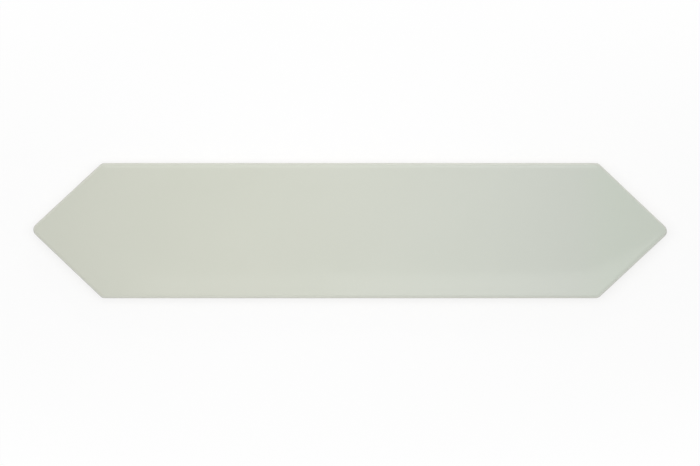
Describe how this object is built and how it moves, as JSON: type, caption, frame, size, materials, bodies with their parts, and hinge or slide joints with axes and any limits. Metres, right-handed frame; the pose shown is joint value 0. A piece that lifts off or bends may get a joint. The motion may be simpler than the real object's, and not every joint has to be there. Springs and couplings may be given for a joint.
{
  "type": "picket wall tile",
  "caption": "Flat glazed ceramic wall tile, an elongated hexagon with a blunt point at each end, a cushioned face edge and a ribbed back for bonding to a wall.",
  "frame": {"origin": "middle of the tile's outline, on the bedding plane of its back", "axes": "+X along the length from point to point, +Y across the width, +Z out of the glazed face"},
  "size_m": [0.25, 0.0534, 0.0085],
  "materials": {
    "pale_green_glaze": "gloss"
  },
  "bodies": {
    "root": {"picket_tile": "pale_green_glaze"}
  },
  "joints": []
}
